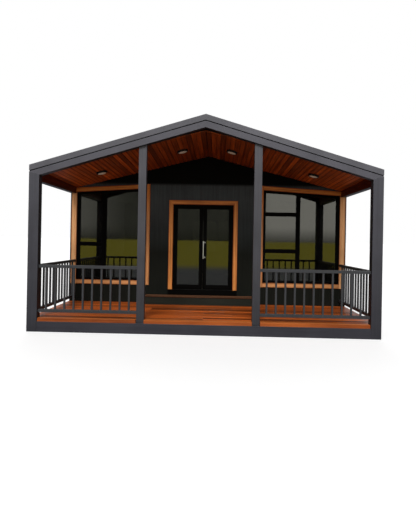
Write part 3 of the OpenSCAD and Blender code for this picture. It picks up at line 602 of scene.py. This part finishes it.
class Piece:
    """A mesh in the making, with the grain and edge attributes that wood() reads.

    boards counts the boards made so far, because each has a number of its own."""

    def __init__(self, name, look, slot, body=HOUSE, replaces=()):
        self.name, self.look, self.slot, self.body, self.replaces = name, look, slot, body, replaces
        self.work = bmesh.new()
        self.grain = self.work.loops.layers.float_vector.new("grain")
        self.edge = self.work.loops.layers.float.new("edge")
        self.boards = 0

    def face(self, corners, grains=(), edges=()):
        made = self.work.faces.new(corners)
        for loop, grain in zip(made.loops, grains):
            loop[self.grain] = grain
        for loop, edge in zip(made.loops, edges):
            loop[self.edge] = edge

    def moulding(self, place, profile, span, miter=(0.0, 0.0)):
        """Runs a closed profile of (across, thick) points from span[0] to span[1].

        place(along, across, thick) gives a point in the row frame. A mitre shifts an end by
        that much for each unit across."""
        self.boards += 1
        ends = []
        for end, slant in zip(span, miter):
            ends.append([(end + slant * across, across, thick) for across, thick in profile])
        verts = [[self.work.verts.new(place(*point)) for point in end] for end in ends]
        count = len(profile)
        girths = [0.0]
        for i in range(count):
            step = Vector(profile[i]) - Vector(profile[(i + 1) % count])
            girths.append(girths[-1] + step.length)
        width = max(across for across, thick in profile)
        edge_shade = [max(0.0, 1 - min(across, width - across) / EDGE_REACH) for across, thick in profile]
        for i in range(count):
            j = (i + 1) % count
            corners = [verts[0][i], verts[0][j], verts[1][j], verts[1][i]]
            places = [(0, i, girths[i]), (0, j, girths[i + 1]), (1, j, girths[i + 1]), (1, i, girths[i])]
            grains = [(ends[end][k][0], girth, self.boards) for end, k, girth in places]
            self.face(corners, grains, [edge_shade[k] for end, k, girth in places])
        for end, order in ((0, -1), (1, 1)):
            grains = [(thick, across, self.boards) for along, across, thick in ends[end][::order]]
            self.face(verts[end][::order], grains)

    def ring(self, corners, out, profile):
        """Runs a closed profile of (inset, proud) points round a flat outline, mitred at its corners."""
        count = len(corners)
        sections = []
        for i, corner in enumerate(corners):
            before = (corner - corners[i - 1]).normalized()
            after = (corners[(i + 1) % count] - corner).normalized()
            inner = [out.cross(before), out.cross(after)]
            miter = (inner[0] + inner[1]) / (1 + inner[0].dot(inner[1]))
            points = [corner + miter * inset + out * proud for inset, proud in profile]
            sections.append([self.work.verts.new(point) for point in points])
        for section, following in zip(sections, sections[1:] + sections[:1]):
            for j in range(len(profile)):
                k = (j + 1) % len(profile)
                self.face([section[j], following[j], following[k], section[k]])

    def lathe(self, centre, axis, profile, sides=48):
        """Turns a profile of (radius, height) points round an axis, and closes its ends."""
        turn = axis.to_track_quat("Z", "Y")
        rings = []
        for radius, height in profile:
            ring = []
            for i in range(sides if radius else 1):
                angle = 2 * math.pi * i / sides
                spot = Vector((radius * math.cos(angle), radius * math.sin(angle), height))
                ring.append(self.work.verts.new(centre + turn @ spot))
            rings.append(ring)
        for low, high in zip(rings, rings[1:]):
            for i in range(sides):
                j = (i + 1) % sides
                around = [low[i % len(low)], low[j % len(low)], high[j % len(high)], high[i % len(high)]]
                self.face([vert for k, vert in enumerate(around) if vert not in around[:k]])
        for ring in (rings[0][::-1], rings[-1]):
            if len(ring) > 1:
                self.face(ring)

    def stud(self, centre, axis, radius, height, sides=8):
        """A low domed head on a surface, such as a screw's."""
        dome = [(radius, 0.0), (0.9 * radius, 0.7 * height), (0.35 * radius, height)]
        self.lathe(centre, axis, dome, sides)

    def finish(self):
        bmesh.ops.recalc_face_normals(self.work, faces=self.work.faces)
        add_piece(self.name, self.work, self.look, self.body, self.replaces)


def eased(width, thick, ease, both=False):
    """A board's section of (across, thick) points, with its upper edges eased, or all four.

    On a wide board it has points where the darker tone of the edges ends."""
    low = ease if both else 0.0
    section = [(low, 0.0), (width - low, 0.0)]
    if both:
        section.append((width, ease))
    section += [(width, thick - ease), (width - ease, thick)]
    if ease < EDGE_REACH < width / 2:
        section += [(width - EDGE_REACH, thick), (EDGE_REACH, thick)]
    section += [(ease, thick), (0.0, thick - ease)]
    if both:
        section.append((0.0, ease))
    return section


# ---------------------------------------------------------------- deck, step and cabin floor

DECK_PITCH = 0.145
DECK_GAP = 0.005
DECK_END_GAP = 0.0025
DECK_T = 0.028
DECK_EASE = 0.004
DECK_ROWS = 16
DECK_UNEVEN = 0.0006  # the most that a board lies low
JOIST_PITCH = 0.6
END_JOISTS = 3  # joists near each side over which no board is cut
SCREW_R = 0.0045
SCREW_H = 0.0008
SCREW_INSET = 0.025  # from a board's long edges
SCREW_END = 0.02  # from a board's end

TREAD_GAP = 0.004
TREAD_EASE = 0.006

LAMINATE_ROWS = 34
LAMINATE_LENGTH = 1.8
LAMINATE_SHORTEST = 0.4
LAMINATE_JOINT = 0.0006
LAMINATE_EASE = 0.001


def deck_boards():
    """Boards across the porch in two lengths a row, cut over a joist, with screws at the joists."""
    low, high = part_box("porch_deck")
    dice = random.Random("deck")
    boards = Piece("deck_boards", "deck", "deck_timber", replaces=["porch_deck"])
    screws = Piece("deck_screws", "screw", "handle_steel")
    first = high.y + DECK_GAP - DECK_ROWS * DECK_PITCH
    width = DECK_PITCH - DECK_GAP
    bays = math.floor((high.x - low.x) / JOIST_PITCH) - 1
    joists = [(i - bays / 2) * JOIST_PITCH for i in range(bays + 1)]
    section = eased(width, DECK_T, DECK_EASE)
    for row in range(DECK_ROWS):
        front = first + row * DECK_PITCH
        cut = dice.choice(joists[END_JOISTS:-END_JOISTS])
        height = dice.uniform(-DECK_UNEVEN, 0.0)

        def place(along, across, up):
            return (along, front + across, high.z - DECK_T + up + height)

        boards.moulding(place, section, (low.x, cut - DECK_END_GAP / 2))
        boards.moulding(place, section, (cut + DECK_END_GAP / 2, high.x))
        for x in joists:
            shifts = (-SCREW_END, SCREW_END) if x == cut else (0.0,)
            for inset in (SCREW_INSET, width - SCREW_INSET):
                for shift in shifts:
                    screws.stud(Vector((x + shift, front + inset, high.z)), UP, SCREW_R, SCREW_H)
    boards.finish()
    front_boards(first - DECK_GAP)
    screws.finish()


def front_boards(back):
    """The thick boards between the posts, from the front edge of the deck to the given place."""
    low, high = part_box("porch_deck")
    # The front boards take the paler wood that is painted light
    fronts = Piece("deck_front_boards", "lit_front_deck", "deck_timber", replaces=["porch_deck"])
    section = eased(back - low.y, high.z - low.z, 2 * DECK_EASE)

    def place(along, across, up):
        return (along, low.y + across, low.z + up)

    posts = ["corner_post_left", "mid_post_left", "mid_post_right", "corner_post_right"]
    for left, right in zip(posts, posts[1:]):
        span = (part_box(left)[1].x + DECK_GAP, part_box(right)[0].x - DECK_GAP)
        fronts.moulding(place, section, span)
    fronts.finish()


def step_boards():
    """The tread in two boards with eased edges."""
    low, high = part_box("step_tread")
    tread = Piece("step_boards", "step", "deck_timber", replaces=["step_tread"])
    width = (high.y - low.y - TREAD_GAP) / 2
    section = eased(width, high.z - low.z, TREAD_EASE, both=True)
    for start in (low.y, low.y + width + TREAD_GAP):

        def place(along, across, up):
            return (along, start + across, low.z + up)

        tread.moulding(place, section, (low.x, high.x))
    tread.finish()


def floor_boards():
    """Laminate boards inside the cabin, in staggered lengths."""
    low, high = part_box("house_floor")
    dice = random.Random("laminate")
    floor = Piece("floor_boards", "laminate", "floor_timber", replaces=["house_floor"])
    pitch = (high.x - low.x) / LAMINATE_ROWS
    section = eased(pitch - LAMINATE_JOINT, high.z - low.z, LAMINATE_EASE)
    for row in range(LAMINATE_ROWS):
        side = low.x + row * pitch

        def place(along, across, up):
            return (side + across, along, low.z + up)

        start = low.y
        end = low.y + dice.uniform(LAMINATE_SHORTEST, LAMINATE_LENGTH)
        while start < high.y:
            end = min(end, high.y)
            floor.moulding(place, section, (start, end - LAMINATE_JOINT))
            start, end = end, end + LAMINATE_LENGTH
    floor.finish()


# ---------------------------------------------------------------- ceiling, lining and lamps

CEILING_PITCH = 0.25  # down to the eaves
CEILING_FALL = 0.0585  # down from the front to the wall
CEILING_BOARD = 0.1
CEILING_T = 0.018
CEILING_EASE = 0.004

LINING_T = 0.02
LINING_BOARDS = 3

LAMP_R = 0.12
LAMP_H = 0.045
COVER_R = 0.096  # of the opening for the cover
COVER_RISE = 0.008
COVER_RINGS = 16
RING_REACH = 0.94  # share of the cover with rings on it
RING_SLOPE = 0.4  # share of a ring that climbs
RING_H = 0.0008


def ceiling_height(y):
    """Underside of the ceiling boards at the centre line."""
    low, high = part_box("porch_ceiling_right")
    share = (y - low.y) / (high.y - low.y)
    return low.z + CEILING_PITCH * (high.x - low.x) + CEILING_FALL * (1 - share)


def ceiling_boards(side, name):
    """Boards from the front to the wall, with V joints, on one slope of the ceiling."""
    low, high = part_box(name)
    half = max(abs(low.x), abs(high.x))
    boards = Piece(name + "_boards", "ceiling", "ceiling_timber", replaces=[name])
    count = round(half / CEILING_BOARD)
    width = half / count
    section = eased(width, CEILING_T, CEILING_EASE)
    for i in range(count):

        def place(along, across, down):
            x = i * width + across
            return (side * x, along, ceiling_height(along) - CEILING_PITCH * x + CEILING_T - down)

        boards.moulding(place, section, (low.y, high.y))
    boards.finish()


def eave_lining():
    """Boards one above the other on the inner face of each eave beam, with V joints."""
    low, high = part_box("eave_lining")
    lining = Piece("eave_lining_boards", "lining", "ceiling_timber", replaces=["eave_lining"])
    width = (high.z - low.z) / LINING_BOARDS
    section = eased(width, LINING_T, CEILING_EASE)
    for side in (-1, 1):
        for i in range(LINING_BOARDS):

            def place(along, across, up):
                return (side * (high.x - up), along, low.z + i * width + across)

            lining.moulding(place, section, (low.y, high.y))
    lining.finish()


def lamp_housing():
    """A housing's section: a set-back foot, a rolled rim and the well for the cover."""
    return [
        (0, 0), (LAMP_R - 0.008, 0), (LAMP_R - 0.008, 0.005), (LAMP_R, 0.007),
        (LAMP_R, LAMP_H - 0.009), (LAMP_R - 0.002, LAMP_H - 0.003), (LAMP_R - 0.007, LAMP_H),
        (COVER_R + 0.005, LAMP_H), (COVER_R + 0.001, LAMP_H - 0.003), (COVER_R, LAMP_H - 0.006),
        (COVER_R, LAMP_H / 2), (0, LAMP_H / 2),
    ]


def lamp_cover():
    """A cover's section: an edge in the well and a low dome of fine rings."""
    bottom = LAMP_H / 2 + 0.001
    edge = COVER_R - 0.001
    section = [(0, bottom), (edge, bottom), (edge, LAMP_H - 0.004)]
    for i in range(COVER_RINGS):
        share = 1 - i / COVER_RINGS
        level = LAMP_H + COVER_RISE * (1 - share * share)
        crest = share - RING_SLOPE / COVER_RINGS
        section += [(RING_REACH * COVER_R * share, level), (RING_REACH * COVER_R * crest, level + RING_H)]
    return section + [(0, LAMP_H + COVER_RISE + 0.001)]


def ceiling_lamps():
    """Round lamps square to the slope that they hang on."""
    housings = Piece("lamp_housings", "lamp", "lamp_housing", replaces=["ceiling_lights"])
    covers = Piece("lamp_covers", "diffuser", "lamp_diffuser", replaces=["light_diffusers"])
    low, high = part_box("porch_ceiling_right")
    fall = CEILING_FALL / (high.y - low.y)
    for corner, opposite in islands("ceiling_lights"):
        middle = (corner + opposite) / 2
        down = Vector((-math.copysign(CEILING_PITCH, middle.x), -fall, -1)).normalized()
        base = middle - down * LAMP_H / 2
        housings.lathe(base, down, lamp_housing())
        covers.lathe(base, down, lamp_cover())
    housings.finish()
    covers.finish()


# ---------------------------------------------------------------- trim round windows and door

TRIM_W = 0.107
INNER_TRIM_W = 0.1
DOOR_TRIM_W = 0.105
HEAD_RISE = 0.11  # of the head over a porch window's width
TRIM_EASE = 0.003
TRIM_GROOVE = 0.004


def grooved(width, thick):
    """A trim board's section, with eased face edges and a V groove down the middle of its face."""
    half = width / 2
    return [
        (0.0, 0.0), (width, 0.0), (width, thick - TRIM_EASE), (width - TRIM_EASE, thick),
        (width - EDGE_REACH, thick),
        (half + TRIM_GROOVE, thick), (half, thick - TRIM_GROOVE), (half - TRIM_GROOVE, thick),
        (EDGE_REACH, thick), (TRIM_EASE, thick), (0.0, thick - TRIM_EASE),
    ]


def window_trim(side, name, window):
    """The boards round a porch window: an upright on each side, the sill and the sloping head.

    The outer upright stands at the house's corner, up to the eave beam. A filler goes on from
    there, beside the eave lining, up to the head."""
    low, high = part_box(name)
    frame_low, frame_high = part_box(window)
    thick = high.y - low.y
    outer = max(abs(frame_low.x), abs(frame_high.x))
    inner = min(abs(frame_low.x), abs(frame_high.x))
    corner_x = max(abs(low.x), abs(high.x))
    lining_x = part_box("eave_lining")[1].x - LINING_T
    beam_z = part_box("eave_beams")[0].z
    head_z = high.z - TRIM_W
    slope = HEAD_RISE / (outer - inner)
    trim = Piece(name + "_boards", "trim", "trim_timber", replaces=[name])

    def upright(start):
        return lambda along, across, up: (side * (start - across), high.y - up, along)

    def sill(along, across, up):
        return (side * along, high.y - up, low.z + across)

    def head(along, across, up):
        return (side * along, high.y - up, head_z - slope * (along - inner) + across)

    # The corner board takes the lighter wood that is painted light
    corner = Piece(name + "_corner_board", "sunlit_trim", "trim_timber", replaces=[name])
    corner.moulding(upright(corner_x), grooved(corner_x - outer, thick), (low.z, beam_z))
    corner.finish()
    filler = eased(lining_x - outer, thick, TRIM_EASE)
    trim.moulding(upright(lining_x), filler, (beam_z, head_z - HEAD_RISE))
    trim.moulding(upright(inner), grooved(INNER_TRIM_W, thick), (low.z, high.z))
    trim.moulding(sill, eased(frame_low.z - low.z, thick, TRIM_EASE), (inner, outer))
    trim.moulding(head, eased(TRIM_W, thick, TRIM_EASE), (inner, lining_x))
    trim.finish()


def door_trim():
    """Two mitred jambs and a head, each with a groove."""
    low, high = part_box("door_trim")
    trim = Piece("door_trim_boards", "door_trim", "trim_timber", replaces=["door_trim"])
    section = grooved(DOOR_TRIM_W, high.y - low.y)

    def left(along, across, up):
        return (low.x + across, high.y - up, along)

    def right(along, across, up):
        return (high.x - across, high.y - up, along)

    def head(along, across, up):
        return (along, high.y - up, high.z - across)

    trim.moulding(left, section, (low.z, high.z), (0, -1))
    trim.moulding(right, section, (low.z, high.z), (0, -1))
    trim.moulding(head, section, (low.x, high.x), (1, -1))
    trim.finish()


def on_rear(box):
    """Whether a window of the cabin is in its rear wall, and not in a side wall."""
    low, high = box
    return high.x - low.x > high.y - low.y


def cabin_trim():
    """Mitred boards round the windows of the cabin."""
    trim = Piece("cabin_trim_boards", "trim", "trim_timber", replaces=["cabin_window_trim"])
    for low, high in islands("cabin_window_trim"):
        size = high - low
        middle = (low + high) / 2
        if on_rear((low, high)):
            out, width, thick = TO_REAR, size.x, size.y
        else:
            out, width, thick = Vector((math.copysign(1, low.x), 0, 0)), size.y, size.x
        base = middle - out * thick / 2
        section = grooved(TRIM_W, thick)
        side = UP.cross(out)
        for turn in (side, UP, -side, -UP):
            level = turn.cross(out)
            reach, half = (size.z / 2, width / 2) if turn.z else (width / 2, size.z / 2)

            def place(along, across, up):
                return base + turn * (reach - across) + level * along + out * up

            trim.moulding(place, section, (-half, half), (1, -1))
    trim.finish()


# ---------------------------------------------------------------- seals, strips and fixings

GASKET = [(0.0, -0.001), (0.0, 0.005), (0.006, 0.005), (0.010, 0.002), (0.010, -0.001)]
PANE_AREA = 0.06  # smaller than the front of any pane, and larger than its edges

ROOF_PITCH = 0.3
FASCIA_H = 0.112
# The black strip in the gap under the front fascia is a painted shadow: how far it is set back, and how
# far its edges are eased
SHADOW_STRIP_SETBACK = 0.028
SHADOW_STRIP_EASE = 0.002

STRIP_W = 0.045
STRIP_T = 0.008
STRIP_PITCH = 1.0
STRIP = [(0.0, 0.0), (STRIP_W, 0.0), (STRIP_W, 0.002), (STRIP_W - 0.008, 0.003),
         (STRIP_W - 0.011, STRIP_T), (0.011, STRIP_T), (0.008, 0.003), (0.0, 0.002)]
STRIP_SCREW_PITCH = 0.45
STRIP_SCREW_R = 0.006
STRIP_SCREW_H = 0.002

RIBS = 5
RIB_START = 0.3  # shares of the ribs' pitch: the gap before a rib, and the rib itself
RIB_SHARE = 0.5
RIB_H = 0.0012
RIB_EASE = 0.0004
RIB_END = 0.004

CAP_SCREW_PITCH = 0.4
CAP_SCREW_INSET = 0.025
CAP_SCREW_R = 0.005
CAP_SCREW_H = 0.004
WASHER_R = 0.009
WASHER_H = 0.002
WASHER_SEAT = 0.0018  # height on the washer at which the screw's head starts


def gaskets(name):
    """Rubber seals round both faces of each pane."""
    seals = Piece(name + "_gaskets", "gasket", "black_aluminium", BODIES[name])
    work = plain_copy(name)
    for face in work.faces:
        if face.calc_area() > PANE_AREA:
            seals.ring([vert.co.copy() for vert in face.verts], face.normal.copy(), GASKET)
    work.free()
    seals.finish()


def reveal_shadow_strips():
    """A black strip set back in the gap between the front fascia and the rafters below it: a painted
    shadow that darkens the gap.
    """
    low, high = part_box("front_fascia")
    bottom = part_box("front_rafter_right")[1].z
    top = high.z - FASCIA_H
    # The black strip that paints the shadow in the gap, in the gaskets' rubber
    seals = Piece("reveal_shadow_strips", "gasket", "roof_metal")
    section = eased(top - bottom, high.y - low.y - SHADOW_STRIP_SETBACK, SHADOW_STRIP_EASE)
    for side in (-1, 1):

        def place(along, across, up):
            return (side * along, low.y + SHADOW_STRIP_SETBACK + up, bottom - ROOF_PITCH * along + across)

        seals.moulding(place, section, (0, high.x - SHADOW_STRIP_EASE))
    seals.finish()


def joint_places(low, high):
    """Where the joints of a wall's panels are: at its ends and evenly between them."""
    count = round((high - low) / STRIP_PITCH)
    places = [low + (high - low) * i / count for i in range(count + 1)]
    return [min(max(place, low + STRIP_W / 2), high - STRIP_W / 2) for place in places]


def clear_spans(spot, axis, bottom, top, windows):
    """The stretches of a joint from bottom to top that no window's trim crosses."""
    for low, high in windows:
        if low[axis] - STRIP_W < spot < high[axis] + STRIP_W:
            return [(bottom, low.z), (high.z, top)]
    return [(bottom, top)]


def cover_joint(strips, screws, place, out, spans):
    """A strip over each stretch of a joint, with screws down its middle."""
    for start, end in spans:
        strips.moulding(place, STRIP, (start, end))
        count = max(2, round((end - start) / STRIP_SCREW_PITCH))
        for i in range(count):
            height = start + (end - start) * (i + 0.5) / count
            centre = Vector(place(height, STRIP_W / 2, STRIP_T))
            screws.stud(centre, out, STRIP_SCREW_R, STRIP_SCREW_H)


def wall_strips():
    """Cover strips over the joints of the wall panels, cut where a window's trim crosses them."""
    strips = Piece("wall_joint_strips", "strip", "wall_panel")
    screws = Piece("wall_strip_screws", "bolt", "wall_panel")
    windows = islands("cabin_window_trim")
    low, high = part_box("side_wall_right")
    rear_low, rear_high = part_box("rear_wall")
    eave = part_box("eave_beams")[1].z

    side_windows = [box for box in windows if not on_rear(box)]
    for y in joint_places(low.y, high.y):
        for side in (-1, 1):

            def place(along, across, up):
                return (side * (high.x + up), y - STRIP_W / 2 + across, along)

            spans = clear_spans(y, 1, low.z, eave, side_windows)
            cover_joint(strips, screws, place, Vector((side, 0, 0)), spans)
    rear_windows = [box for box in windows if on_rear(box)]
    for x in joint_places(rear_low.x, rear_high.x):

        def place(along, across, up):
            return (x - STRIP_W / 2 + across, rear_high.y + up, along)

        top = rear_high.z - ROOF_PITCH * (abs(x) + STRIP_W / 2)
        spans = clear_spans(x, 0, low.z, top, rear_windows)
        cover_joint(strips, screws, place, TO_REAR, spans)
    strips.finish()
    screws.finish()


def threshold_ribs():
    """Fine ribs along the step of the threshold, in front of the leaves."""
    low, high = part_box("door_threshold")
    pitch = (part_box("door_frame")[0].y - low.y) / RIBS
    ribs = Piece("threshold_ribs", "lamp", "black_aluminium")
    section = eased(RIB_SHARE * pitch, RIB_H, RIB_EASE)
    for i in range(RIBS):

        def place(along, across, up):
            return (along, low.y + pitch * (i + RIB_START) + across, high.z + up)

        ribs.moulding(place, section, (low.x + RIB_END, high.x - RIB_END))
    ribs.finish()


def roof_fixings():
    """Screws with washers along both edges of the ridge cap."""
    low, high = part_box("ridge_cap")
    fixings = Piece("ridge_cap_screws", "screw", "roof_metal")
    reach = high.x - CAP_SCREW_INSET
    count = round((high.y - low.y) / CAP_SCREW_PITCH)
    for side in (-1, 1):
        out = Vector((side * ROOF_PITCH, 0, 1)).normalized()
        for i in range(count):
            y = low.y + (high.y - low.y) * (i + 0.5) / count
            spot = Vector((side * reach, y, high.z - ROOF_PITCH * reach))
            fixings.stud(spot, out, WASHER_R, WASHER_H, sides=12)
            fixings.stud(spot + out * WASHER_SEAT, out, CAP_SCREW_R, CAP_SCREW_H, sides=6)
    fixings.finish()


# ---------------------------------------------------------------- build

add_camera()
set_world()
add_floor()
add_sun("key", strength=2.1, degrees=25.0, towards=(0.10, 1.0, -0.85))
add_sun("front", strength=0.85, degrees=60.0, towards=(-0.03, 1.0, -0.12), mirrored=False)
add_sun("back", strength=0.9, degrees=60.0, towards=(0.1, -1.0, -0.8), mirrored=False)

dress_frame()
deck_boards()
ceiling_boards(-1, "porch_ceiling_left")
ceiling_boards(1, "porch_ceiling_right")
eave_lining()
window_trim(-1, "window_trim_left", "window_frame_left")
window_trim(1, "window_trim_right", "window_frame_right")
door_trim()
step_boards()
floor_boards()
for panes in ("porch_window_glass", "cabin_window_glass", "door_glass_left", "door_glass_right"):
    gaskets(panes)
ceiling_lamps()
reveal_shadow_strips()
cabin_trim()
wall_strips()
threshold_ribs()
roof_fixings()

view = bpy.context.scene.view_settings
view.view_transform = "Standard"
